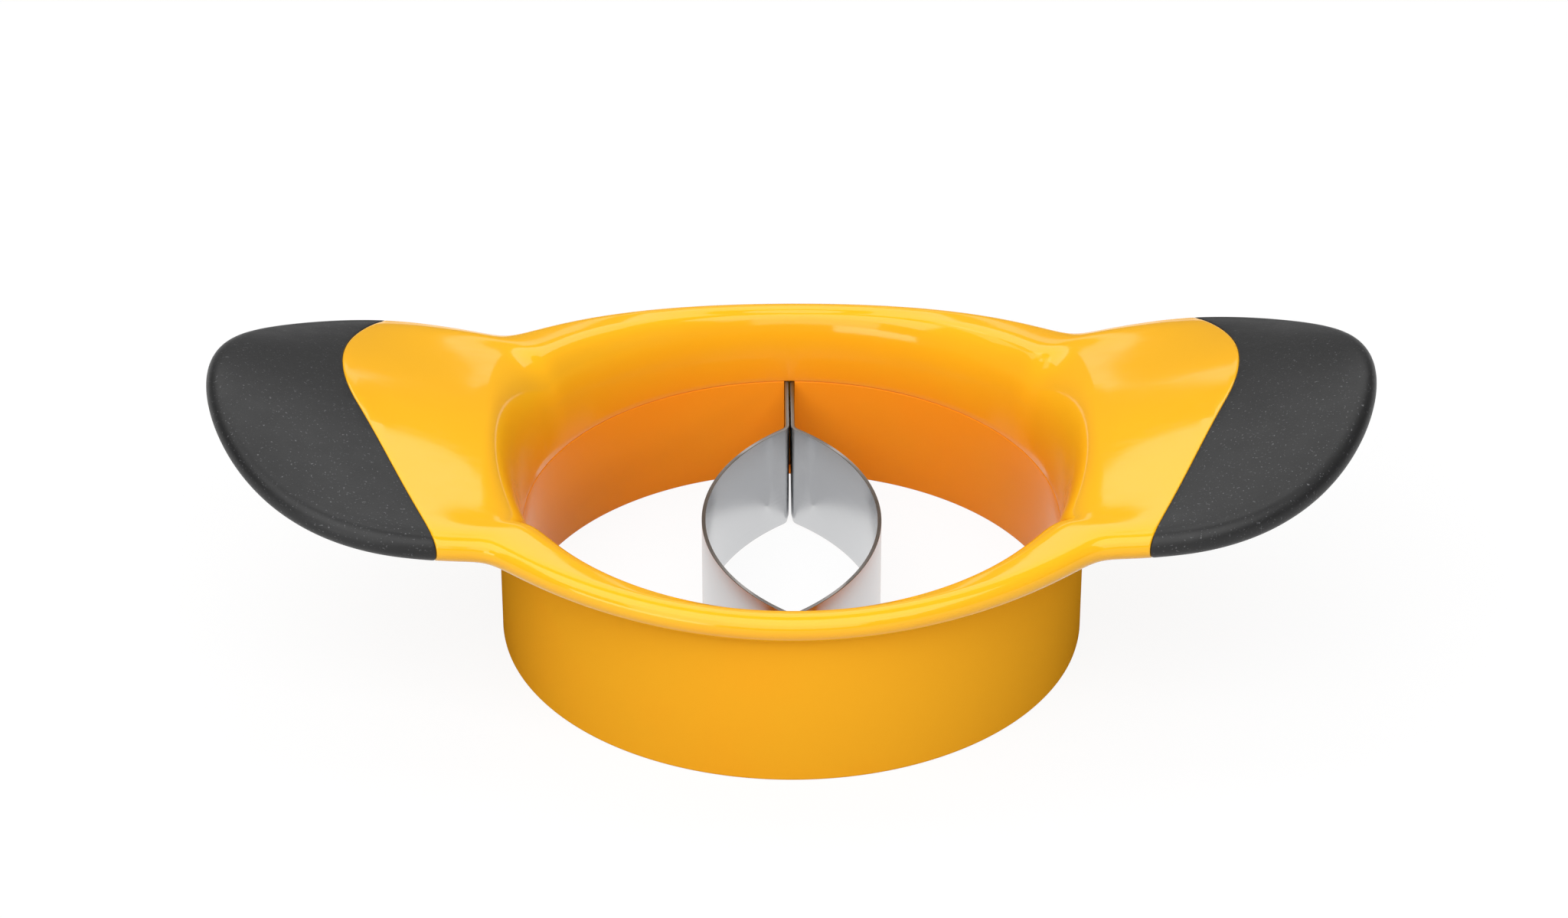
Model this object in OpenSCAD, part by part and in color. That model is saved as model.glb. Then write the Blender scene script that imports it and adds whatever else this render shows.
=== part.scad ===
// Mango slicer: a moulded funnel ring with two wing handles, pressed down over a fruit standing on end.
// Two bent steel strips across the ring cut on either side of the stone and leave it standing in the middle.
// Millimetres, +Z up. The origin is on the work surface at the middle of the ring.
// +X runs along the wings and +Y points away from the user.

/* [Lower ring] */
// Outside radius of the lower ring at its foot
foot_r = 53.3; // [48:0.1:58]
// Wall thickness of the lower ring at its foot
foot_wall = 3.2; // [2.8:0.1:3.8]
// Height of the lower ring's outside wall
ring_h = 29.8; // [24:0.2:36]
// How far the outside wall leans outwards from foot to top
outer_lean = 0.1; // [0:0.1:0.8]
// How far the inside wall leans inwards from foot to ledge
inner_lean = 1; // [0.6:0.1:1.4]
// Height of the collar that stands up from the ledge, round the body's spigot
collar_h = 8.4; // [5:0.2:11]
// Thickness of that collar
collar_wall = 2; // [1.7:0.1:2.4]
// Height of the small chamfer round the foot
foot_chamfer = 0.4; // [0.2:0.1:0.8]

/* [Rim of the body] */
// How far the centre of the rolled edge stands out past the ring, at the front and back
rim_over = 0.4; // [0.1:0.1:0.8]
// How much the rim's underside rises from the ring to the rolled edge, at the front and back
rim_gap = 0.2; // [0:0.1:0.8]
// Radius of the rolled edge round the rim and the wings
roll_r = 2.7; // [2.2:0.1:3.2]
// How much wider than deep the oval is that the rim follows, on each side
rim_flank = 13.2; // [11:0.2:16]
// Squareness of that oval, where 2 is an ellipse
rim_power = 2; // [1.9:0.02:2.3]

/* [Funnel] */
// How far the funnel's upper edge stands outside the ledge, beside the wings
flare_side = 6.5; // [5:0.1:8]
// How far the funnel's upper edge stands outside the ledge, at the front and back
flare_front = 2.9; // [2.4:0.1:3.4]
// Sharpness of the corners where the funnel's upper edge turns from the rim to the wings
mouth_corner = 10; // [8:1:14]
// Share of the rim's widening towards the wings that the funnel's upper edge follows
mouth_follow = 0.8; // [0.7:0.02:0.9]
// Depth of the funnel's upper edge below the top of the rim, at the front and back
rim_dip = 0.8; // [0.5:0.1:1.1]
// How much higher the funnel's upper edge lies beside the wings
mouth_rise = 6.9; // [6:0.1:7.8]
// How soon that height drops from the wings towards the front and back
mouth_power = 2; // [1.7:0.1:2.4]
// Length in which the funnel turns from steep to the slope of the top
mouth_turn = 4; // [3:0.1:5]

/* [Wings] */
// Length of a wing, from the funnel's upper edge to the centre of the rolled edge at its tip
wing_l = 46.7; // [43:0.1:52]
// Length of the wing's rounded end
tip_l = 33.5; // [29:0.1:37]
// Half the depth of a wing, to the centre of the rolled edge
wing_half = 35.8; // [33:0.1:39]
// How much the wing's sides would close in, carried on to the middle
wing_neck = 36.6; // [30:0.2:42]
// Sharpness of the inside corner between rim and wing
corner_power = 16; // [10:1:20]
// How far the edge sweeps up from the front of the rim to the wing tip
edge_sweep = 10.8; // [8:0.1:14]
// Width of the bend in which that sweep sets in, as a share of the distance to the tip
edge_bow = 0.42; // [0.3:0.02:0.8]
// Extra lift of the edge round the very tip
tip_lift = 8.3; // [4:0.1:10]
// How late that extra lift sets in
tip_power = 10.7; // [8:0.1:16]

/* [Grips] */
// Length of a grip, from the centre of the rolled edge at the wing tip to the seam
grip_l = 20.6; // [18:0.1:23]
// Distance of the seam's farthest point behind the middle
seam_y = 14.6; // [12:0.1:18]
// Radius of the seam's rounded part
seam_r = 42.6; // [38:0.1:50]
// Slant of the seam's straight part, in degrees from front to back
seam_slant = 23.9; // [16:0.1:26]
// Thickness of the soft grip above and below the tongue in it
grip_skin = 1.8; // [1.4:0.1:2]
// How far the tongue stops short of the centre of the rolled edge
grip_edge = 7; // [6:0.5:9]
// Distance from the funnel's upper edge at which the tongue grows out of the wing
tongue_in = 4.4; // [3:0.2:6]
// Diameter of the holes in the tongue, which the grip fills
tie_d = 5; // [3:0.5:6]
// Distance of those holes from the tongue's edge
tie_web = 2.5; // [1.5:0.1:3]
// Place of the outer holes round the wing's rounded end, in degrees from the tip
tie_turn = 35; // [30:1:40]

/* [Blades] */
// Thickness of a steel strip
strip_t = 0.7; // [0.5:0.05:0.9]
// Half the width of the lens that the strips enclose, to the middle of a strip
lens_half_w = 16.1; // [13:0.1:19]
// Half the length of that lens, from its middle to where the strips would cross
lens_half_l = 32.5; // [28:0.1:36]
// Gap between the two strips where they run side by side
leg_gap = 0.4; // [0.2:0.1:0.8]
// Inside radius of the bend between lens and leg
bend_r = 2; // [1:0.2:4]
// Inside radius of the bend between leg and hook
hook_r = 0.7; // [0.4:0.1:1]
// Length of the hook at each end of a strip, which the lower ring holds
hook_l = 3; // [2.4:0.2:4]
// Height of the ground lower edge of a strip
edge_h = 1.4; // [0.8:0.1:2.5]
// Thickness left at the ground edge
edge_t = 0.15; // [0.1:0.05:0.3]
// Height of the strips' lower edge above the work surface
blade_lift = 0.3; // [0.2:0.1:1]
// How much higher the lower edge lies on the strips' ends, which the lower ring holds
tab_lift = 2; // [1.4:0.2:4]
// Distance from the ring's inside wall at which the lower edge starts to drop from there
tab_gap = 0.4; // [0.2:0.1:1]

/* [Fits] */
// Clearance where one piece seats in another
seat = 0.1; // [0.05:0.05:0.2]

/* [Hidden] */

ORANGE = "#f6a81c";
ORANGE_RING = "#eea01f";
SOFT_BLACK = "#3a3a3c";
STEEL = "#c4c6c8";

// Fineness of the drawn surfaces
QUARTER = 28;
FUNNEL_STEPS = 8;
TOP_STEPS = 3;
ROLL_STEPS = 10;
UNDER_STEPS = 3;
SEAM_STEPS = 16;
ARC_FN = 128;
HOOK_STEPS = 4;
BEND_STEPS = 5;
LENS_STEPS = 32;
TIP_STEP = 3;
SIDE_STEPS = 48;

// Room that a cut needs beyond the piece that it cuts
SPARE = 1;
FAR = 140;

// Lower ring: height and inside radius of the ledge, and inside radius of the collar
ledge_h = ring_h - collar_h;
ledge_r = foot_r - foot_wall - inner_lean;
collar_r = foot_r + outer_lean - collar_wall;

// Spigot of the body, which stands on the ledge inside the collar, and the rim's underside over the ring
spigot_r = collar_r - seat;
under_h = ring_h + seat;

// Rolled edge at the front and back, and the oval that the rim follows
roll_h = under_h + rim_gap + roll_r;
rim_reach = foot_r + outer_lean + rim_over;
rim_spread = rim_reach + rim_flank;

// Upper edge of the funnel, and the shape of the funnel between ledge and mouth
mouth_side = ledge_r + flare_side;
mouth_front = ledge_r + flare_front;
mouth_front_h = roll_h + roll_r - rim_dip;
FUNNEL_LEAD = 0.15;
FUNNEL_RISE = 0.55;

// Wing tip, the wing's deepest place, and what lies in and on the wing
wing_reach = mouth_side + wing_l;
wing_mid = wing_reach - tip_l;
seam_x = wing_reach - grip_l;
tongue_root = mouth_side + tongue_in;

// Outline of the rolled edge in one quarter, from the wing tip round to the back of the rim
function rim_y(x) = x >= rim_spread ? 0 : rim_reach * pow(1 - pow(x / rim_spread, rim_power), 1 / rim_power);
function wing_y(x) = max(0, wing_half - wing_neck * pow(1 - x / wing_mid, 2));
function side_y(x) = pow(pow(rim_y(x), corner_power) + pow(wing_y(x), corner_power), 1 / corner_power);
function tip_point(a) = [wing_mid + tip_l * cos(a), wing_half * sin(a)];
function tip_normal(a) = let (n = [cos(a) / tip_l, sin(a) / wing_half]) n / norm(n);
quarter = [
    for (a = [0 : TIP_STEP : 90 - TIP_STEP]) tip_point(a),
    for (i = [SIDE_STEPS : -1 : 0]) let (x = wing_mid * i / SIDE_STEPS) [x, side_y(x)]
];

// Even stations along that outline, carried round all four quarters
function lengths(points) = [
    for (
        i = 0, s = 0;
        i < len(points);
        s = s + (i + 1 < len(points) ? norm(points[i + 1] - points[i]) : 0), i = i + 1
    ) s
];
along = lengths(quarter);
along_x = [for (i = [0 : len(quarter) - 1]) [along[i], quarter[i].x]];
along_y = [for (i = [0 : len(quarter) - 1]) [along[i], quarter[i].y]];
function quarter_at(j) =
    let (s = along[len(along) - 1] * j / QUARTER) [lookup(s, along_x), lookup(s, along_y)];
function edge_at(k) =
    let (turn = (k + 4 * QUARTER) % (4 * QUARTER), part = floor(turn / QUARTER), j = turn % QUARTER)
    part == 0 ? quarter_at(j)
    : part == 1 ? [-quarter_at(QUARTER - j).x, quarter_at(QUARTER - j).y]
    : part == 2 ? -quarter_at(j)
    : [quarter_at(QUARTER - j).x, -quarter_at(QUARTER - j).y];
function edge_normal(k) = let (t = edge_at(k + 1) - edge_at(k - 1)) [t.y, -t.x] / norm(t);
function edge_height(x) =
    let (
        share = abs(x) / wing_reach,
        sweep = (norm([share, edge_bow]) - edge_bow) / (norm([1, edge_bow]) - edge_bow)
    )
    roll_h + edge_sweep * sweep + tip_lift * pow(share, tip_power);

function spoke(a, r, z) = [r * cos(a), r * sin(a), z];
function between(p, q, s) = p + (q - p) * s;
function curve(p, s) =
    pow(1 - s, 3) * p[0] + 3 * s * pow(1 - s, 2) * p[1] + 3 * s * s * (1 - s) * p[2] + pow(s, 3) * p[3];

// Direction, distance and height of the rolled edge at station k
function station(k) = let (p = edge_at(k)) [atan2(p.y, p.x), norm(p), edge_height(p.x)];

// Upper edge of the funnel at a station, a little inside the rim and straight across the root of a wing
function mouth_r(s) =
    let (rim = mouth_front + mouth_follow * (s[1] - rim_reach), wing = abs(cos(s[0])) / mouth_side)
    pow(pow(rim, -mouth_corner) + pow(wing, mouth_corner), -1 / mouth_corner);
function mouth_h(s) = mouth_front_h + mouth_rise * pow(abs(cos(s[0])), mouth_power);

// Where the top and the underside of the wing or rim lie at the distance r, in the spoke through a station
function top_slope(s) = (s[2] + roll_r - mouth_h(s)) / (s[1] - mouth_r(s));
function under_slope(s) = (s[2] - roll_r - under_h) / (s[1] - spigot_r);
function top_z(s, r) = mouth_h(s) + top_slope(s) * (r - mouth_r(s));
function under_z(s, r) = under_h + under_slope(s) * (r - spigot_r);

// Loop of points round the body's section at station k: funnel, top, rolled edge, underside and spigot
function funnel_points(k) =
    let (
        s = station(k), a = s[0],
        foot = [ledge_r, ledge_h], mouth = [mouth_r(s), mouth_h(s)], gap = mouth - foot,
        lead = foot + [FUNNEL_LEAD * gap.x, FUNNEL_RISE * gap.y],
        turn = mouth - pow(gap.x, 2) / (gap.x + mouth_turn) * [1, top_slope(s)]
    )
    [
        for (i = [0 : FUNNEL_STEPS - 1])
            let (c = curve([foot, lead, turn, mouth], i / FUNNEL_STEPS))
            spoke(a, c.x, c.y)
    ];
function roll_points(k) =
    let (
        s = station(k), p = edge_at(k), n = edge_normal(k),
        first = 90 + atan(top_slope(s)), last = -90 + atan(under_slope(s))
    )
    [
        for (i = [0 : ROLL_STEPS])
            let (a = first + (last - first) * i / ROLL_STEPS, q = p + n * roll_r * cos(a))
            [q.x, q.y, s[2] + roll_r * sin(a)]
    ];
function wing_points(k) =
    let (
        s = station(k), a = s[0], roll = roll_points(k),
        mouth = spoke(a, mouth_r(s), mouth_h(s)), heel = spoke(a, spigot_r, under_h)
    )
    [
        for (i = [0 : TOP_STEPS - 1]) between(mouth, roll[0], i / TOP_STEPS),
        each roll,
        for (i = [1 : UNDER_STEPS]) between(roll[ROLL_STEPS], heel, i / UNDER_STEPS)
    ];
function body_points(k) =
    let (a = station(k)[0]) [each funnel_points(k), each wing_points(k), spoke(a, spigot_r, ledge_h)];

// Tongue in the grip at station k: the wing's section, set in from its edge, its top and its underside
function tongue_points(k) =
    let (
        s = station(k), q = edge_at(k) - edge_normal(k) * grip_edge, a = atan2(q.y, q.x), r = norm(q)
    )
    [
        spoke(a, tongue_root, top_z(s, tongue_root) - grip_skin),
        spoke(a, r, top_z(s, r) - grip_skin),
        spoke(a, r, under_z(s, r) + grip_skin),
        spoke(a, tongue_root, under_z(s, tongue_root) + grip_skin)
    ];

// Solid skinned over a row of loops that have the same number of points
module skin(loops, ring = false) {
    n = len(loops);
    m = len(loops[0]);
    sides = [
        for (i = [0 : ring ? n - 1 : n - 2], j = [0 : m - 1])
            let (a = i * m, b = (i + 1) % n * m, c = (j + 1) % m)
            each [[a + j, b + j, b + c], [a + j, b + c, a + c]]
    ];
    ends = ring ? [] : [
        for (j = [1 : m - 2]) each [[0, j, j + 1], [(n - 1) * m, (n - 1) * m + j + 1, (n - 1) * m + j]]
    ];
    polyhedron([for (loop = loops) each loop], concat(sides, ends));
}

// Stations of the right wing, up to its inside corners, and of the tongue in it
WING_SHARE = 0.7;
TONGUE_SHARE = 0.4;
WING_SPAN = floor(QUARTER * WING_SHARE);
TONGUE_SPAN = floor(QUARTER * TONGUE_SHARE);

module right_wing() skin([for (k = [-WING_SPAN : WING_SPAN]) wing_points(k)]);

module right_tongue() {
    difference() {
        skin([for (k = [-TONGUE_SPAN : TONGUE_SPAN]) tongue_points(k)]);
        for (a = [-tie_turn, 0, tie_turn])
            translate(tip_point(a) - tip_normal(a) * (grip_edge + tie_web + tie_d / 2))
                cylinder(d = tie_d, h = FAR, $fn = ARC_FN);
    }
}

// Everything on the grip's side of the seam on the right wing
SEAM_BACK = 48;
module right_grip_side() {
    middle = [seam_x - seam_r, seam_y];
    front = middle + seam_r * [cos(seam_slant), -sin(seam_slant)];
    linear_extrude(FAR)
        polygon([
            front + FAR * [-sin(seam_slant), -cos(seam_slant)],
            for (i = [0 : SEAM_STEPS])
                let (a = -seam_slant + (SEAM_BACK + seam_slant) * i / SEAM_STEPS)
                middle + seam_r * [cos(a), sin(a)],
            [seam_x, FAR],
            [FAR, FAR],
            [FAR, -FAR]
        ]);
}

module both_sides() {
    children();
    mirror([1, 0, 0]) children();
}

module upper_body() {
    color(ORANGE)
        union() {
            difference() {
                skin([for (k = [0 : 4 * QUARTER - 1]) body_points(k)], ring = true);
                both_sides() right_grip_side();
            }
            both_sides() right_tongue();
        }
}

module right_grip() {
    color(SOFT_BLACK)
        difference() {
            intersection() {
                right_wing();
                right_grip_side();
            }
            right_tongue();
        }
}

module grip_right() right_grip();
module grip_left() mirror([1, 0, 0]) right_grip();

// Ends of the strips: half-widths of the two legs and of their hooks, outside of a hook, and lower edge
leg_half = leg_gap / 2 + strip_t;
hook_half = leg_half + hook_l;
hook_y = sqrt(pow(spigot_r, 2) - pow(hook_half + seat, 2)) - seat;
tab_h = blade_lift + tab_lift;

module lower_ring() {
    color(ORANGE_RING)
        difference() {
            rotate_extrude($fn = ARC_FN)
                polygon([
                    [foot_r - foot_wall, 0],
                    [foot_r - foot_chamfer, 0],
                    [foot_r, foot_chamfer],
                    [foot_r + outer_lean, ring_h],
                    [collar_r, ring_h],
                    [collar_r, ledge_h],
                    [ledge_r, ledge_h]
                ]);
            for (turn = [0, 180]) rotate(turn) blade_pocket();
        }
}

// Pocket in the ring's wall, open at the ledge, for the legs and hooks of both strips
module blade_pocket() {
    leg = leg_half + seat;
    hook = hook_half + seat;
    near = hook_y - strip_t - seat;
    right = [
        [leg, 0],
        [leg, near - hook_r],
        [leg + hook_r, near],
        [hook, near],
        [hook, hook_y + seat]
    ];
    left = [for (i = [len(right) - 1 : -1 : 0]) [-right[i].x, right[i].y]];
    translate([0, 0, tab_h - seat])
        linear_extrude(ledge_h - tab_h + seat + SPARE)
            polygon(concat(right, left));
}

// One strip: a lens side between two bends, two legs and two hooks, a section carried along its middle line
leg_x = (leg_gap + strip_t) / 2;
bend_mid = bend_r + strip_t / 2;
lens_r = (pow(lens_half_w, 2) + pow(lens_half_l, 2)) / (2 * lens_half_w);
lens_x = lens_r - lens_half_w;
bend_x = leg_x + bend_mid;
bend_y = sqrt(pow(lens_r + bend_mid, 2) - pow(lens_x + bend_x, 2));
bend_turn = atan2(bend_y, lens_x + bend_x);
hook_mid = hook_y - strip_t / 2;
hook_bend = hook_r + strip_t / 2;
tab_y = ledge_r - tab_gap;

// Places along the strip, each with the direction square to it and the height of its lower edge
function place(p, d, z) = [p, d, z];
function arc_places(middle, r, first, last, steps, z, side = 1) = [
    for (i = [0 : steps])
        let (a = first + (last - first) * i / steps, d = [cos(a), sin(a)])
        place(middle + r * d, side * d, z)
];
function inner_places(places) = [for (i = [1 : len(places) - 2]) places[i]];
left_strip_places = [
    place([-hook_half, hook_mid], [0, 1], tab_h),
    each arc_places([-leg_x - hook_bend, hook_mid - hook_bend], hook_bend, 90, 0, HOOK_STEPS, tab_h),
    place([-leg_x, tab_y], [1, 0], tab_h),
    place([-leg_x, tab_y - tab_lift], [1, 0], blade_lift),
    each arc_places([-bend_x, bend_y], bend_mid, 0, -bend_turn, BEND_STEPS, blade_lift),
    each inner_places(
        arc_places([lens_x, 0], lens_r, 180 - bend_turn, 180 + bend_turn, LENS_STEPS, blade_lift, -1)
    ),
    each arc_places([-bend_x, -bend_y], bend_mid, bend_turn, 0, BEND_STEPS, blade_lift),
    place([-leg_x, tab_lift - tab_y], [1, 0], blade_lift),
    place([-leg_x, -tab_y], [1, 0], tab_h),
    each arc_places([-leg_x - hook_bend, hook_bend - hook_mid], hook_bend, 0, -90, HOOK_STEPS, tab_h),
    place([-hook_half, -hook_mid], [0, -1], tab_h)
];

// Section of a strip with its ground lower edge at the height z: distance from the middle line, and height
function strip_section(z) = [
    [-edge_t / 2, z],
    [edge_t / 2, z],
    [strip_t / 2, z + edge_h],
    [strip_t / 2, ledge_h - seat],
    [-strip_t / 2, ledge_h - seat],
    [-strip_t / 2, z + edge_h]
];

module left_strip() {
    color(STEEL)
        skin([
            for (at = left_strip_places)
                [for (c = strip_section(at[2])) [each at[0] + at[1] * c.x, c.y]]
        ]);
}

module blade_left() left_strip();
module blade_right() mirror([1, 0, 0]) left_strip();

upper_body();
lower_ring();
blade_left();
blade_right();
grip_left();
grip_right();
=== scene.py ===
import math

import bmesh
import bpy
import numpy as np
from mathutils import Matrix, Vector


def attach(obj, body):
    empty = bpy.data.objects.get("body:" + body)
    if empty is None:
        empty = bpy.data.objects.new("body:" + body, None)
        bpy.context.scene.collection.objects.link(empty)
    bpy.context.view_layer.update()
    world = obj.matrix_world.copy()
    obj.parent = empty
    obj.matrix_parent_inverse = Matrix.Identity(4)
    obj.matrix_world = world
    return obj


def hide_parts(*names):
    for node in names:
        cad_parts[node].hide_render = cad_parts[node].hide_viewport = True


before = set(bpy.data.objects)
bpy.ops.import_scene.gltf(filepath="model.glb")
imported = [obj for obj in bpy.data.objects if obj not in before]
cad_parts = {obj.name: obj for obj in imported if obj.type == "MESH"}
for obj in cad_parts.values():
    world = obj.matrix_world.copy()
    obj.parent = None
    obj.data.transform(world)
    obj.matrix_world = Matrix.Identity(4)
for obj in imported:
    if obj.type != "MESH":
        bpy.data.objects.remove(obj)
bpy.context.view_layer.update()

MM = 0.001

# Lower ring
FOOT_R = 53.3
FOOT_WALL = 3.2
RING_H = 29.8
OUTER_LEAN = 0.1
INNER_LEAN = 1.0
COLLAR_H = 8.4
COLLAR_WALL = 2.0
FOOT_ROUND = 0.5
EDGE_ROUND = 0.25

# Rim and funnel of the body
RIM_OVER = 0.4
RIM_GAP = 0.2
ROLL_R = 2.7
RIM_FLANK = 13.2
RIM_POWER = 2.0
FLARE_SIDE = 6.5
FLARE_FRONT = 2.9
MOUTH_CORNER = 10.0
MOUTH_FOLLOW = 0.8
RIM_DIP = 0.8
MOUTH_RISE = 6.9
MOUTH_POWER = 2.0
MOUTH_TURN = 4.0
FUNNEL_LEAD = 0.15
FUNNEL_RISE = 0.55
TOP_CROWN = 0.15
CROWN_SPAN = 6.0
MOST_LEAN = math.radians(25)

# Wings
WING_L = 46.7
TIP_L = 33.5
WING_HALF = 35.8
WING_NECK = 36.6
CORNER_POWER = 16.0
EDGE_SWEEP = 10.8
EDGE_BOW = 0.42
TIP_LIFT = 8.3
TIP_POWER = 10.7

# Seam between body and grip, and the radii of the two lips along it
GRIP_L = 20.6
SEAM_Y = 14.6
SEAM_R = 42.6
SEAM_SLANT = math.radians(23.9)
BODY_LIP = 0.35
GRIP_LIP = 0.30
LIP_STEPS = (0.04, 0.15, 0.35, 0.65, 1.0)
CUT_REACH = 10.0

# Blades
STRIP_T = 0.7
LENS_HALF_W = 16.1
LENS_HALF_L = 32.5
LEG_GAP = 0.4
BEND_R = 2.0
HOOK_R = 0.7
HOOK_L = 3.0
EDGE_H = 1.4
EDGE_T = 0.15
BLADE_LIFT = 0.3
TAB_LIFT = 2.0
TAB_GAP = 0.4
STRIP_ROUND = 0.12

SEAT = 0.1

# Sizes that follow from those above
LEDGE_H = RING_H - COLLAR_H
LEDGE_R = FOOT_R - FOOT_WALL - INNER_LEAN
COLLAR_R = FOOT_R + OUTER_LEAN - COLLAR_WALL
SPIGOT_R = COLLAR_R - SEAT
UNDER_H = RING_H + SEAT
ROLL_H = UNDER_H + RIM_GAP + ROLL_R
RIM_REACH = FOOT_R + OUTER_LEAN + RIM_OVER
RIM_SPREAD = RIM_REACH + RIM_FLANK
MOUTH_SIDE = LEDGE_R + FLARE_SIDE
MOUTH_FRONT = LEDGE_R + FLARE_FRONT
MOUTH_FRONT_H = ROLL_H + ROLL_R - RIM_DIP
WING_REACH = MOUTH_SIDE + WING_L
WING_MID = WING_REACH - TIP_L
SEAM_X = WING_REACH - GRIP_L
LEG_HALF = LEG_GAP / 2 + STRIP_T
HOOK_HALF = LEG_HALF + HOOK_L
HOOK_Y = math.sqrt(SPIGOT_R ** 2 - (HOOK_HALF + SEAT) ** 2) - SEAT
TAB_H = BLADE_LIFT + TAB_LIFT
STRIP_TOP = LEDGE_H - SEAT

# Fineness of the meshes, and the angles in degrees past which edges stay crisp
TIP_SAMPLES = 600
SIDE_SAMPLES = 1600
LEAN_TRIES = 14
LEAN_SMOOTHINGS = 12
QUARTER_STEPS = 150
FUNNEL_STEPS = 26
TOP_STEPS = 18
ROLL_STEPS = 18
UNDER_STEPS = 8
ROUND_STEPS = 4
RING_STEPS = 288
LENS_STEPS = 120
BEND_STEPS = 14
HOOK_STEPS = 8
CRISP_ANGLE = 40
STRIP_CRISP_ANGLE = 24


# Meshes

def add_object(name, mesh, sharp_angle=CRISP_ANGLE):
    """An object for a mesh, shaded smooth, with edges sharper than the angle in degrees kept crisp."""
    mesh.shade_smooth()
    mesh.set_sharp_from_angle(angle=math.radians(sharp_angle))
    piece = bpy.data.objects.new(name, mesh)
    bpy.context.scene.collection.objects.link(piece)
    return piece


def mesh_from(name, points, faces):
    """A mesh from points in millimetres, its faces all turned outward."""
    bm = bmesh.new()
    verts = [bm.verts.new(p) for p in (np.asarray(points) * MM).tolist()]
    for face in faces:
        bm.faces.new([verts[i] for i in face])
    bmesh.ops.recalc_face_normals(bm, faces=bm.faces)
    mesh = bpy.data.meshes.new(name)
    bm.to_mesh(mesh)
    bm.free()
    return mesh


def grid_faces(rows, columns, close_rows):
    """Quads over rows of points: each row is a closed loop, and the last joins the first where asked."""
    i, j = np.meshgrid(np.arange(rows if close_rows else rows - 1), np.arange(columns), indexing="ij")
    i_next, j_next = (i + 1) % rows, (j + 1) % columns
    corners = [i * columns + j, i_next * columns + j, i_next * columns + j_next, i * columns + j_next]
    return np.stack(corners, -1).reshape(-1, 4).tolist()


def arc(middle, radius, first, last, steps):
    """Points on an arc in a plane, angles in degrees."""
    a = np.radians(np.linspace(first, last, steps + 1))
    return np.stack([middle[0] + radius * np.cos(a), middle[1] + radius * np.sin(a)], -1)


def bezier(first, lead, turn, last, steps):
    """Rows of points along curves that run side by side, all but the last row."""
    rows = []
    for s in np.linspace(0, 1, steps + 1)[:-1]:
        rest = 1 - s
        rows.append(first * rest ** 3 + lead * 3 * s * rest ** 2 + turn * 3 * s * s * rest + last * s ** 3)
    return rows


# Body and grips as one skin

def outline():
    """Even stations round the rolled edge: points and outward normals in plan, from the right wing tip."""
    a = np.linspace(0, math.pi / 2, TIP_SAMPLES)[:-1]
    tip = np.stack([WING_MID + TIP_L * np.cos(a), WING_HALF * np.sin(a)], -1)
    x = np.linspace(WING_MID, 0, SIDE_SAMPLES)
    inside = np.clip(1 - np.clip(x / RIM_SPREAD, 0, 1) ** RIM_POWER, 0, 1)
    rim = RIM_REACH * inside ** (1 / RIM_POWER)
    wing = np.clip(WING_HALF - WING_NECK * (1 - x / WING_MID) ** 2, 0, None)
    side = np.stack([x, (rim ** CORNER_POWER + wing ** CORNER_POWER) ** (1 / CORNER_POWER)], -1)
    line = np.concatenate([tip, side])
    along = np.concatenate([[0], np.cumsum(np.linalg.norm(np.diff(line, axis=0), axis=1))])
    even = np.linspace(0, along[-1], QUARTER_STEPS + 1)
    quarter = np.stack([np.interp(even, along, line[:, 0]), np.interp(even, along, line[:, 1])], -1)
    half = np.concatenate([quarter, (quarter * [-1, 1])[-2::-1]])
    points = np.concatenate([half, (half * [1, -1])[-2:0:-1]])
    tangent = np.roll(points, -1, axis=0) - np.roll(points, 1, axis=0)
    normal = np.stack([tangent[:, 1], -tangent[:, 0]], -1)
    return points, normal / np.linalg.norm(normal, axis=1, keepdims=True)


def edge_heights(edge):
    """Heights of the rolled edge's middle, which sweeps up along the wings and lifts at their tips."""
    share = np.abs(edge[:, 0]) / WING_REACH
    rise = (np.hypot(share, EDGE_BOW) - EDGE_BOW) / (math.hypot(1, EDGE_BOW) - EDGE_BOW)
    return ROLL_H + EDGE_SWEEP * rise + TIP_LIFT * share ** TIP_POWER


def mouth_line(spoke, reach):
    """Distance from the axis and height of the funnel's mouth on each spoke."""
    along_rim = (MOUTH_FRONT + MOUTH_FOLLOW * (reach - RIM_REACH)) ** -MOUTH_CORNER
    along_wing = (np.abs(spoke[:, 0]) / MOUTH_SIDE) ** MOUTH_CORNER
    mouth_r = (along_rim + along_wing) ** (-1 / MOUTH_CORNER)
    return mouth_r, MOUTH_FRONT_H + MOUTH_RISE * np.abs(spoke[:, 0]) ** MOUTH_POWER


def roll_lean(lean, normal, on_roll, toward):
    """Angles from upright at which the roll starts, tangent to the top, from a first guess."""
    for _ in range(LEAN_TRIES):
        lean = np.clip(lean, -MOST_LEAN, MOST_LEAN)
        start = on_roll(math.pi / 2 + lean)
        facing = np.cross(toward(start), np.roll(start, -1, axis=0) - np.roll(start, 1, axis=0))
        facing *= np.sign(facing[:, 2:])
        lean = (lean + np.arctan2(-(facing[:, :2] * normal).sum(1), facing[:, 2])) / 2
    for _ in range(LEAN_SMOOTHINGS):
        lean = (np.roll(lean, 1) + 2 * lean + np.roll(lean, -1)) / 4
    return np.clip(lean, -MOST_LEAN, MOST_LEAN)


def on_spokes(spoke, r, z):
    """One place on each spoke, at a distance from the axis and a height."""
    r, z = np.broadcast_to(r, len(spoke)), np.broadcast_to(z, len(spoke))
    return np.concatenate([spoke * r[:, None], z[:, None]], -1)


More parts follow.
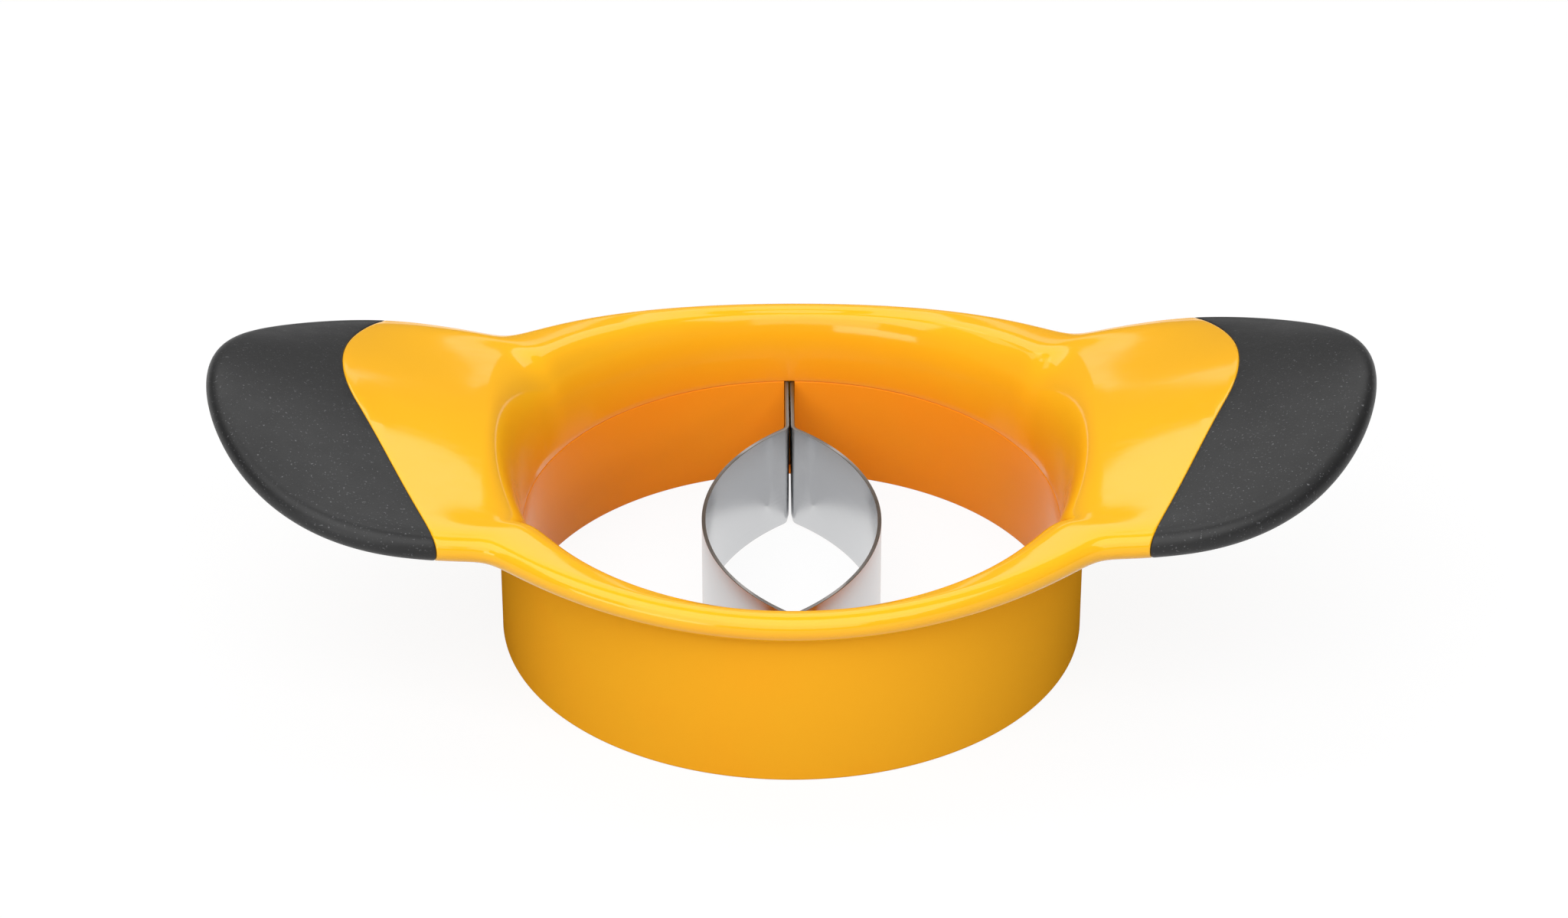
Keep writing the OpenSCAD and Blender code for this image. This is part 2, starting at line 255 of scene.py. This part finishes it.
def funnel_rows(spoke, mouth_r, mouth, slope):
    """Rows from the funnel's foot up to its mouth, where it turns over into the top."""
    gap_r, gap_h = mouth_r - LEDGE_R, mouth[:, 2] - LEDGE_H
    foot = on_spokes(spoke, LEDGE_R, LEDGE_H + EDGE_ROUND)
    lead = on_spokes(spoke, LEDGE_R + FUNNEL_LEAD * gap_r, LEDGE_H + FUNNEL_RISE * gap_h)
    turn = mouth - slope * (gap_r ** 2 / (gap_r + MOUTH_TURN))[:, None]
    return bezier(foot, lead, turn, mouth, FUNNEL_STEPS)


def top_rows(mouth, slope, start, way, outward):
    """Rows of the crowned top, from the mouth to the start of the roll, which it meets along its surface."""
    leave = slope * np.linalg.norm(way[:, :2], axis=1, keepdims=True)
    arrive = way - outward * (way * outward).sum(1)[:, None]
    return bezier(mouth, mouth + leave / 3, start - arrive / 3, start, TOP_STEPS)


def under_rows(spoke, tail):
    """Rows from the end of the roll along the underside, down the spigot and round the funnel's foot."""
    heel = on_spokes(spoke, SPIGOT_R, UNDER_H)
    rows = [tail + (heel - tail) * s for s in np.linspace(0, 1, UNDER_STEPS + 1)[1:]]
    rows.append(on_spokes(spoke, SPIGOT_R, LEDGE_H))
    corner = arc((LEDGE_R + EDGE_ROUND, LEDGE_H + EDGE_ROUND), EDGE_ROUND, 270, 180, ROUND_STEPS)[:-1]
    return rows + [on_spokes(spoke, r, z) for r, z in corner]


def body_skin():
    """Loops of points round the sections of body and grips: funnel, top, rolled edge, underside, spigot."""
    edge, normal = outline()
    reach = np.linalg.norm(edge, axis=1)
    spoke = edge / reach[:, None]
    edge_h = edge_heights(edge)
    mouth_r, mouth_h = mouth_line(spoke, reach)
    mouth = on_spokes(spoke, mouth_r, mouth_h)
    span = reach - mouth_r
    top_slope = (edge_h + ROLL_R - mouth_h) / span
    crown = 4 * TOP_CROWN / (span + CROWN_SPAN)
    slope = np.concatenate([spoke, (top_slope + crown)[:, None]], -1)

    def on_roll(angle):
        """Places on the roll at angles up from level."""
        out, up = ROLL_R * np.cos(angle), ROLL_R * np.sin(angle)
        return np.concatenate([edge + normal * out[:, None], (edge_h + up)[:, None]], -1)

    def toward(place):
        """Ways in which the crowned top comes down to places on the roll."""
        way = place - mouth
        way[:, 2] -= crown * np.linalg.norm(way[:, :2], axis=1)
        return way

    lean = roll_lean(np.arctan(top_slope - crown), normal, on_roll, toward)
    outward = np.concatenate([-normal * np.sin(lean)[:, None], np.cos(lean)[:, None]], -1)
    under_slope = (edge_h - ROLL_R - UNDER_H) / (reach - SPIGOT_R)
    first, last = math.pi / 2 + lean, np.arctan(under_slope) - math.pi / 2
    start = on_roll(first)
    rows = funnel_rows(spoke, mouth_r, mouth, slope)
    rows += top_rows(mouth, slope, start, toward(start), outward)
    rows += [on_roll(first + (last - first) * s) for s in np.linspace(0, 1, ROLL_STEPS + 1)]
    rows += under_rows(spoke, on_roll(last))
    return np.stack(rows, 1)


# Seam between body and grip

def past_seam(place):
    """Distance past the seam in plan, in millimetres: above 0 on a grip, below 0 on the body."""
    x, y = abs(place.x) / MM - SEAM_X + SEAM_R, place.y / MM - SEAM_Y
    if x <= 0:
        return -SEAM_R
    if math.atan2(y, x) >= -SEAM_SLANT:
        return math.hypot(x, y) - SEAM_R
    return x * math.cos(SEAM_SLANT) - y * math.sin(SEAM_SLANT) - SEAM_R


def cut_along(bm, level):
    """Cuts the mesh along the line at that distance from the seam."""
    past = {v: past_seam(v.co) - level for v in bm.verts if abs(past_seam(v.co) - level) < CUT_REACH}
    crossed = []
    for v, value in past.items():
        if value < 0:
            crossed += [(edge, v) for edge in v.link_edges if past.get(edge.other_vert(v), -1) > 0]
    made = []
    for edge, v in crossed:
        far = edge.other_vert(v)
        share = past[v] / (past[v] - past[far])
        place = v.co.lerp(far.co, share)
        made.append(bmesh.utils.edge_split(edge, v, share)[1])
        made[-1].co = place
    bmesh.ops.connect_verts(bm, verts=made)


def side_of_seam(name, skin, keep, lip):
    """One side of the seam as a closed mesh, its edge along the seam rounded to the lip's radius."""
    bm = skin.copy()
    bmesh.ops.delete(bm, geom=[f for f in bm.faces if not keep(f.calc_center_median())], context="FACES")
    bm.normal_update()
    moves = []
    for v in bm.verts:
        depth = lip - abs(past_seam(v.co))
        if depth > 0:
            moves.append((v, v.normal * (lip - math.sqrt(lip ** 2 - depth ** 2)) * MM))
    for v, move in moves:
        v.co -= move
    bmesh.ops.holes_fill(bm, edges=[e for e in bm.edges if e.is_boundary])
    bmesh.ops.recalc_face_normals(bm, faces=bm.faces)
    mesh = bpy.data.meshes.new(name)
    bm.to_mesh(mesh)
    bm.free()
    return add_object(name, mesh)


def on_grip(side):
    """A test for places on one grip: the left one for side -1, the right one for side 1."""
    return lambda place: past_seam(place) > 0 and place.x * side > 0


def make_body_and_grips():
    """The upper body and both grips, cut from one skin along the seam."""
    loops = body_skin()
    rows, columns = loops.shape[:2]
    whole = mesh_from("whole_skin", loops.reshape(-1, 3), grid_faces(rows, columns, True))
    skin = bmesh.new()
    skin.from_mesh(whole)
    bpy.data.meshes.remove(whole)
    levels = [-BODY_LIP * s for s in LIP_STEPS] + [0] + [GRIP_LIP * s for s in LIP_STEPS]
    for level in sorted(levels):
        cut_along(skin, level)
    pieces = {
        "upper_body": side_of_seam("body_skin", skin, lambda place: past_seam(place) < 0, BODY_LIP),
        "grip_left": side_of_seam("grip_left_skin", skin, on_grip(-1), GRIP_LIP),
        "grip_right": side_of_seam("grip_right_skin", skin, on_grip(1), GRIP_LIP),
    }
    skin.free()
    return pieces


# Lower ring

def ring_profile():
    """Section of the lower ring as distance from the axis and height, with rounded edges."""
    inner_foot, outer_top = FOOT_R - FOOT_WALL, FOOT_R + OUTER_LEAN
    return np.concatenate([
        arc((inner_foot + EDGE_ROUND, EDGE_ROUND), EDGE_ROUND, 180, 270, ROUND_STEPS),
        arc((FOOT_R - FOOT_ROUND, FOOT_ROUND), FOOT_ROUND, 270, 360, ROUND_STEPS),
        arc((outer_top - EDGE_ROUND, RING_H - EDGE_ROUND), EDGE_ROUND, 0, 90, ROUND_STEPS),
        [[COLLAR_R, RING_H], [COLLAR_R, LEDGE_H]],
        arc((LEDGE_R + EDGE_ROUND, LEDGE_H - EDGE_ROUND), EDGE_ROUND, 90, 180, ROUND_STEPS),
    ])


def pocket_outline():
    """Plan of the pocket for the strips' legs and hooks at the back of the ring."""
    leg, hook, near = LEG_HALF + SEAT, HOOK_HALF + SEAT, HOOK_Y - STRIP_T - SEAT
    right = np.array([
        [leg, LEDGE_R - FOOT_WALL],
        [leg, near - HOOK_R],
        [leg + HOOK_R, near],
        [hook, near],
        [hook, HOOK_Y + SEAT],
    ])
    return np.concatenate([right, (right * [-1, 1])[::-1]])


def cut_pocket(ring, side):
    """Cuts the ring's pocket for the strips' ends, at the back for side 1 and at the front for side -1."""
    plan = pocket_outline() * side
    count = len(plan)
    points = [[*p, z] for z in (TAB_H - SEAT, LEDGE_H + FOOT_WALL) for p in plan]
    faces = [list(range(count)), list(range(2 * count - 1, count - 1, -1))]
    faces += [[i, count + i, count + (i + 1) % count, (i + 1) % count] for i in range(count)]
    cutter = add_object("pocket_cutter", mesh_from("pocket_cutter", points, faces))
    cut = ring.modifiers.new("pocket", "BOOLEAN")
    cut.object = cutter
    cut.operation = "DIFFERENCE"
    cut.solver = "EXACT"
    bpy.context.view_layer.update()
    mesh = bpy.data.meshes.new_from_object(ring.evaluated_get(bpy.context.evaluated_depsgraph_get()))
    ring.modifiers.clear()
    ring.data = mesh
    bpy.data.objects.remove(cutter)


def make_ring():
    """The lower ring, turned from its section, with a pocket at the back and one at the front."""
    profile = ring_profile()
    turn = np.linspace(0, 2 * math.pi, RING_STEPS, endpoint=False)
    loops = np.stack([
        np.outer(np.cos(turn), profile[:, 0]),
        np.outer(np.sin(turn), profile[:, 0]),
        np.broadcast_to(profile[:, 1], (RING_STEPS, len(profile))),
    ], -1)
    faces = grid_faces(RING_STEPS, len(profile), True)
    ring = add_object("ring_wall", mesh_from("ring_wall", loops.reshape(-1, 3), faces))
    for side in (1, -1):
        cut_pocket(ring, side)
    ring.data.shade_smooth()
    ring.data.set_sharp_from_angle(angle=math.radians(CRISP_ANGLE))
    return ring


# Blades

def strip_places():
    """Places along the left strip's middle line: point, direction square to it, lower edge's height."""
    leg_x = (LEG_GAP + STRIP_T) / 2
    bend_mid, hook_bend = BEND_R + STRIP_T / 2, HOOK_R + STRIP_T / 2
    lens_r = (LENS_HALF_W ** 2 + LENS_HALF_L ** 2) / (2 * LENS_HALF_W)
    lens_x, bend_x = lens_r - LENS_HALF_W, leg_x + bend_mid
    bend_y = math.sqrt((lens_r + bend_mid) ** 2 - (lens_x + bend_x) ** 2)
    bend_turn = math.degrees(math.atan2(bend_y, lens_x + bend_x))
    hook_mid, tab_y = HOOK_Y - STRIP_T / 2, LEDGE_R - TAB_GAP

    def around(middle, radius, first, last, steps, z, side=1):
        a = np.radians(np.linspace(first, last, steps + 1))
        square = np.stack([np.cos(a), np.sin(a)], -1)
        return [(np.array(middle) + radius * d, side * d, z) for d in square]

    def at(x, y, dx, dy, z):
        return [(np.array([x, y]), np.array([dx, dy], float), z)]

    back = (
        at(-HOOK_HALF, hook_mid, 0, 1, TAB_H)
        + around((-leg_x - hook_bend, hook_mid - hook_bend), hook_bend, 90, 0, HOOK_STEPS, TAB_H)
        + at(-leg_x, tab_y, 1, 0, TAB_H)
        + at(-leg_x, tab_y - TAB_LIFT, 1, 0, BLADE_LIFT)
        + around((-bend_x, bend_y), bend_mid, 0, -bend_turn, BEND_STEPS, BLADE_LIFT)
    )
    lens = around((lens_x, 0), lens_r, 180 - bend_turn, 180 + bend_turn, LENS_STEPS, BLADE_LIFT, -1)[1:-1]
    front = [(p * [1, -1], d * [1, -1], z) for p, d, z in reversed(back)]
    return back + lens + front


def strip_section(z):
    """Section of a strip: distance from the middle line and height, ground below and rounded above."""
    half, flank_h = STRIP_T / 2, STRIP_TOP - STRIP_ROUND
    return np.concatenate([
        [[-EDGE_T / 2, z], [EDGE_T / 2, z], [half, z + EDGE_H]],
        arc((half - STRIP_ROUND, flank_h), STRIP_ROUND, 0, 90, ROUND_STEPS),
        arc((STRIP_ROUND - half, flank_h), STRIP_ROUND, 90, 180, ROUND_STEPS),
        [[-half, z + EDGE_H]],
    ])


def make_blade(name, side):
    """The left strip for side 1, and its mirror image for side -1."""
    loops = []
    for point, square, z in strip_places():
        section = strip_section(z)
        plan = (point + np.outer(section[:, 0], square)) * [side, 1]
        loops.append(np.concatenate([plan, section[:, 1:]], -1))
    loops = np.array(loops)
    rows, columns = loops.shape[:2]
    faces = grid_faces(rows, columns, False)
    faces += [list(range(columns)), list(range((rows - 1) * columns, rows * columns))]
    return add_object(name, mesh_from(name, loops.reshape(-1, 3), faces), STRIP_CRISP_ANGLE)


# Finishes: grains and depths in millimetres, colours and levels as shares of 1

NOISE_SPAN = (0.3, 0.7)

# Orange plastic: the colour pairs are a deeper, redder orange inside, as painted shade of the hollow, and
# the plastic's own orange outside; the gloss pairs are for inside and outside, and those of roughness for
# smooth and rubbed
BODY_SHADE_COLOURS = ((0.91, 0.30, 0.010), (0.90, 0.445, 0.012))
BODY_GLOSS = (0.4, 0.5)
BODY_CHANGE = (LEDGE_H, MOUTH_FRONT_H)
BODY_ROUGHNESS = (0.08, 0.15)
# Painted shade: the ring's inner colour is deeper and redder than its outside, for the shade in its hollow
RING_SHADE_COLOURS = ((0.93, 0.285, 0.012), (0.83, 0.38, 0.017))
RING_GLOSS = (0.08, 0.0)
RING_SKIN = 1.0
RING_CHANGE = (LEDGE_R + RING_SKIN, FOOT_R - RING_SKIN)
RING_ROUGHNESS = (0.15, 0.25)
BY_HEIGHT = (0, 0, 1)
FROM_AXIS = (1, 1, 0)
WARM_GLOSS = (1.0, 0.95, 0.68)
DRIFT_GRAIN = 35
DRIFT_SPAN = (0.35, 0.65)
DRIFT_RANGE = (-0.1, 0.1)
RUB_GRAIN = 6
RUB_STRETCH = (1, 5, 5)
RUB_SPAN = (0.4, 0.75)
WAVE_GRAIN = 5
WAVE_DEPTH = 0.02
WAVE_STRENGTH = 0.15

# Soft-touch black
BLACK_COLOURS = ((0.010, 0.010, 0.0103), (0.014, 0.014, 0.0143))
BLACK_DRIFT_GRAIN = 18
BLACK_GLOSS = 0.38
BLACK_ROUGHNESS = (0.42, 0.48)
BLACK_ROUGH_GRAIN = 4
SPECK_COLOUR = (0.12, 0.12, 0.125)
SPECK_GRAIN = 0.42
SPECK_SPAN = (0.64, 0.78)
TOUCH_GRAIN = 0.5
TOUCH_DEPTH = 0.06
TOUCH_STRENGTH = 0.4

# Strip steel
STEEL_COLOURS = ((0.61, 0.615, 0.625), (0.63, 0.635, 0.645))
STEEL_ROUGHNESS = (0.17, 0.19)
LINE_GRAIN = 20
LINE_STRETCH = (1, 1, 90)
QUARTER_TURN = 0.25
CUT_COLOUR = (0.34, 0.33, 0.32)
CUT_ROUGHNESS = 0.6


def new_material(name):
    """A material with its node tree, its shader and the place on the object."""
    material = bpy.data.materials.new(name)
    material.use_nodes = True
    tree = material.node_tree
    place = tree.nodes.new("ShaderNodeTexCoord").outputs["Object"]
    return material, tree, tree.nodes["Principled BSDF"], place


def noise(tree, place, size, detail=2.0, stretch=(1, 1, 1)):
    """Noise whose grains are about that many millimetres wide."""
    mapping = tree.nodes.new("ShaderNodeMapping")
    mapping.inputs["Scale"].default_value = stretch
    tree.links.new(place, mapping.inputs["Vector"])
    texture = tree.nodes.new("ShaderNodeTexNoise")
    texture.inputs["Scale"].default_value = 1 / (size * MM)
    texture.inputs["Detail"].default_value = detail
    tree.links.new(mapping.outputs["Vector"], texture.inputs["Vector"])
    return texture.outputs["Fac"]


def spread(tree, value, span=(0, 1), ends=(0, 1)):
    """The value's span, carried to the stretch between the ends."""
    node = tree.nodes.new("ShaderNodeMapRange")
    for name, number in zip(("From Min", "From Max", "To Min", "To Max"), (*span, *ends)):
        node.inputs[name].default_value = number
    tree.links.new(value, node.inputs["Value"])
    return node.outputs["Result"]


def blend(tree, share, first, second):
    """A colour between two, of which the first may be linked."""
    node = tree.nodes.new("ShaderNodeMix")
    node.data_type = "RGBA"
    tree.links.new(share, node.inputs["Factor"])
    if isinstance(first, tuple):
        node.inputs["A"].default_value = (*first, 1)
    else:
        tree.links.new(first, node.inputs["A"])
    node.inputs["B"].default_value = (*second, 1)
    return node.outputs["Result"]


def combine(tree, operation, first, second):
    """The result of a sum or the like on two linked values."""
    node = tree.nodes.new("ShaderNodeMath")
    node.operation = operation
    tree.links.new(first, node.inputs[0])
    tree.links.new(second, node.inputs[1])
    return node.outputs[0]


def distance(tree, place, weights):
    """Length of the place's vector, each axis weighted."""
    weigh = tree.nodes.new("ShaderNodeVectorMath")
    weigh.operation = "MULTIPLY"
    weigh.inputs[1].default_value = weights
    tree.links.new(place, weigh.inputs[0])
    measure = tree.nodes.new("ShaderNodeVectorMath")
    measure.operation = "LENGTH"
    tree.links.new(weigh.outputs[0], measure.inputs[0])
    return measure.outputs["Value"]


def bump(tree, shader, height, depth, strength):
    """Small heights on the surface, for the shader's normal."""
    node = tree.nodes.new("ShaderNodeBump")
    node.inputs["Distance"].default_value = depth * MM
    node.inputs["Strength"].default_value = strength
    tree.links.new(height, node.inputs["Height"])
    tree.links.new(node.outputs["Normal"], shader.inputs["Normal"])


def orange_with_painted_shade(name, colours, weights, ends, gloss, roughness):
    """Moulded plastic with painted shade, a deeper and redder orange towards the inside, with slow drifts,
    flow waves and rub marks.
    """
    material, tree, shader, place = new_material(name)
    out = spread(tree, distance(tree, place, weights), (ends[0] * MM, ends[1] * MM))
    drift = spread(tree, noise(tree, place, DRIFT_GRAIN, detail=3), DRIFT_SPAN, DRIFT_RANGE)
    # Painted shade: the share towards the inside deepens the colour, as shade and bounced light in the
    # hollow would; the drift adds a random tone
    base = blend(tree, combine(tree, "ADD", out, drift), *colours)
    tree.links.new(base, shader.inputs["Base Color"])
    rub = noise(tree, place, RUB_GRAIN, detail=6, stretch=RUB_STRETCH)
    tree.links.new(spread(tree, rub, RUB_SPAN, roughness), shader.inputs["Roughness"])
    bump(tree, shader, noise(tree, place, WAVE_GRAIN), WAVE_DEPTH, WAVE_STRENGTH)
    tree.links.new(spread(tree, out, ends=gloss), shader.inputs["Specular IOR Level"])
    shader.inputs["Specular Tint"].default_value = (*WARM_GLOSS, 1)
    return material


def soft_black(name):
    """Soft-touch overmould: dark grey with a fine pale grain and a matt, slightly uneven surface."""
    material, tree, shader, place = new_material(name)
    drift = spread(tree, noise(tree, place, BLACK_DRIFT_GRAIN, detail=3), NOISE_SPAN)
    specks = spread(tree, noise(tree, place, SPECK_GRAIN), SPECK_SPAN)
    base = blend(tree, specks, blend(tree, drift, *BLACK_COLOURS), SPECK_COLOUR)
    tree.links.new(base, shader.inputs["Base Color"])
    rough = spread(tree, noise(tree, place, BLACK_ROUGH_GRAIN, detail=4), NOISE_SPAN, BLACK_ROUGHNESS)
    tree.links.new(rough, shader.inputs["Roughness"])
    bump(tree, shader, noise(tree, place, TOUCH_GRAIN, detail=3), TOUCH_DEPTH, TOUCH_STRENGTH)
    shader.inputs["Specular IOR Level"].default_value = BLACK_GLOSS
    return material


def strip_steel(name):
    """Rolled stainless strip: fine lines along it blur reflections, and the cut upper edge is dull."""
    material, tree, shader, place = new_material(name)
    lines = noise(tree, place, LINE_GRAIN, detail=4, stretch=LINE_STRETCH)
    split = tree.nodes.new("ShaderNodeSeparateXYZ")
    tree.links.new(place, split.inputs[0])
    cut_span = ((STRIP_TOP - STRIP_ROUND) * MM, (STRIP_TOP - STRIP_ROUND / 2) * MM)
    cut = spread(tree, split.outputs["Z"], cut_span)
    rolled = blend(tree, spread(tree, lines, NOISE_SPAN), *STEEL_COLOURS)
    tree.links.new(blend(tree, cut, rolled, CUT_COLOUR), shader.inputs["Base Color"])
    rough = spread(tree, lines, NOISE_SPAN, STEEL_ROUGHNESS)
    rough = combine(tree, "MAXIMUM", rough, spread(tree, cut, ends=(0, CUT_ROUGHNESS)))
    tree.links.new(rough, shader.inputs["Roughness"])
    tangent = tree.nodes.new("ShaderNodeTangent")
    tangent.direction_type = "RADIAL"
    tangent.axis = "Z"
    tree.links.new(tangent.outputs[0], shader.inputs["Tangent"])
    shader.inputs["Anisotropic"].default_value = 1.0
    shader.inputs["Anisotropic Rotation"].default_value = QUARTER_TURN
    shader.inputs["Metallic"].default_value = 1.0
    return material


# The object

pieces = make_body_and_grips()
pieces["lower_ring"] = make_ring()
pieces["blade_left"] = make_blade("blade_left_strip", 1)
pieces["blade_right"] = make_blade("blade_right_strip", -1)

# Painted shade: the body's orange deepens lower down, and the ring's towards its axis
body_orange = orange_with_painted_shade("body_orange", BODY_SHADE_COLOURS, BY_HEIGHT, BODY_CHANGE, BODY_GLOSS, BODY_ROUGHNESS)
ring_orange = orange_with_painted_shade("ring_orange", RING_SHADE_COLOURS, FROM_AXIS, RING_CHANGE, RING_GLOSS, RING_ROUGHNESS)
grip_black = soft_black("grip_black")
blade_steel = strip_steel("blade_steel")

FINISH = {
    "upper_body": ("body_orange", body_orange),
    "lower_ring": ("ring_orange", ring_orange),
    "blade_left": ("blade_steel", blade_steel),
    "blade_right": ("blade_steel", blade_steel),
    "grip_left": ("grip_black", grip_black),
    "grip_right": ("grip_black", grip_black),
}
for node, (slot, material) in FINISH.items():
    piece = pieces[node]
    piece.data.materials.clear()
    piece.data.materials.append(material)
    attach(piece, "root")
    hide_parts(node)


# Studio, in metres

FLOOR_REACH = 4.0
FLOOR_LIT = (0.45, 0.45, 0.45)
FLOOR_LOOK = (0.92, 0.92, 0.92)
FLOOR_SEEN = 0.9
FLOOR_ROUGHNESS = 0.9
FLOOR_GLOSS = 0.1
STAGE_MIDDLE = Vector((0, 0, 0.035))
WORLD_LIGHT = 0.14

# Softboxes: degrees round from behind towards +X, degrees up, distance, width, height, brightness, mirrored
SOFTBOXES = {
    "behind_high": (0, 58, 1.0, 1.50, 0.72, 1.9, True),
    "behind_card": (0, 24.2, 1.2, 0.26, 0.138, 0.95, True),
    "front_high": (-165, 56, 1.0, 1.50, 0.80, 2.75, True),
    "front_low": (-170, 23, 1.3, 1.10, 0.50, 2.1, True),
    "front_strip": (-147, 6, 1.2, 0.72, 0.26, 4.0, True),
    "left_side": (-72, 48, 1.1, 0.32, 0.50, 1.4, True),
    "right_fill": (118, 18, 1.2, 0.60, 0.40, 3.2, False),
}


def aim(thing, place, target):
    """Puts a lamp or camera at a place and turns it towards the target."""
    thing.location = place
    thing.rotation_euler = (Vector(target) - Vector(place)).to_track_quat("-Z", "Y").to_euler()


def softbox(name, turn, up, away, width, height, brightness, mirrored):
    """A soft lamp that faces the stage, hidden from the camera and, unless mirrored, from gloss."""
    light = bpy.data.lights.new(name, "AREA")
    light.shape = "RECTANGLE"
    light.size, light.size_y = width, height
    light.energy = brightness * math.pi * width * height
    lamp = bpy.data.objects.new(name, light)
    bpy.context.scene.collection.objects.link(lamp)
    turn, up = math.radians(turn), math.radians(up)
    way = Vector((math.sin(turn) * math.cos(up), math.cos(turn) * math.cos(up), math.sin(up)))
    aim(lamp, STAGE_MIDDLE + way * away, STAGE_MIDDLE)
    lamp.visible_camera = False
    lamp.visible_glossy = mirrored


def pale_ground(name):
    """Pale ground that the camera and reflections see as white but for a trace of the object's shadow."""
    material = bpy.data.materials.new(name)
    material.use_nodes = True
    tree = material.node_tree
    shader = tree.nodes["Principled BSDF"]
    shader.inputs["Roughness"].default_value = FLOOR_ROUGHNESS
    shader.inputs["Specular IOR Level"].default_value = FLOOR_GLOSS
    path = tree.nodes.new("ShaderNodeLightPath")
    seen = path.outputs["Is Camera Ray"]
    for ray in ("Is Glossy Ray", "Is Transmission Ray"):
        seen = combine(tree, "MAXIMUM", seen, path.outputs[ray])
    tree.links.new(blend(tree, seen, FLOOR_LIT, FLOOR_LOOK), shader.inputs["Base Color"])
    white = tree.nodes.new("ShaderNodeEmission")
    mix = tree.nodes.new("ShaderNodeMixShader")
    tree.links.new(spread(tree, seen, ends=(0, FLOOR_SEEN)), mix.inputs[0])
    tree.links.new(shader.outputs[0], mix.inputs[1])
    tree.links.new(white.outputs[0], mix.inputs[2])
    tree.links.new(mix.outputs[0], tree.nodes["Material Output"].inputs["Surface"])
    return material


def make_floor():
    """A wide, level floor under the object."""
    r = FLOOR_REACH
    mesh = bpy.data.meshes.new("floor")
    mesh.from_pydata([(-r, -r, 0), (r, -r, 0), (r, r, 0), (-r, r, 0)], [], [(0, 1, 2, 3)])
    mesh.materials.append(pale_ground("floor"))
    floor = bpy.data.objects.new("floor", mesh)
    bpy.context.scene.collection.objects.link(floor)


def make_world():
    """Even white light from all round."""
    world = bpy.data.worlds.new("studio")
    bpy.context.scene.world = world
    world.use_nodes = True
    background = world.node_tree.nodes["Background"]
    background.inputs["Color"].default_value = (1, 1, 1, 1)
    background.inputs["Strength"].default_value = WORLD_LIGHT


make_floor()
make_world()
for name, sizes in SOFTBOXES.items():
    softbox(name, *sizes)

# Camera at the photograph's angle
PHOTO_W = 2048
FOCAL_PX = 6473
CAM_AZIMUTH = math.radians(0.43)
CAM_ELEVATION = math.radians(31.3)
CAM_DISTANCE = 900 * MM
CAM_TARGET = Vector((-1.38, 0, 33.9)) * MM
SENSOR = 36.0
camera = bpy.data.objects.new("camera", bpy.data.cameras.new("camera"))
bpy.context.scene.collection.objects.link(camera)
camera.data.sensor_width = SENSOR
camera.data.lens = FOCAL_PX / PHOTO_W * SENSOR
level = -math.cos(CAM_ELEVATION)
back = Vector((level * math.sin(CAM_AZIMUTH), level * math.cos(CAM_AZIMUTH), math.sin(CAM_ELEVATION)))
aim(camera, CAM_TARGET + back * CAM_DISTANCE, CAM_TARGET)
bpy.context.scene.camera = camera
bpy.context.scene.view_settings.view_transform = "Standard"
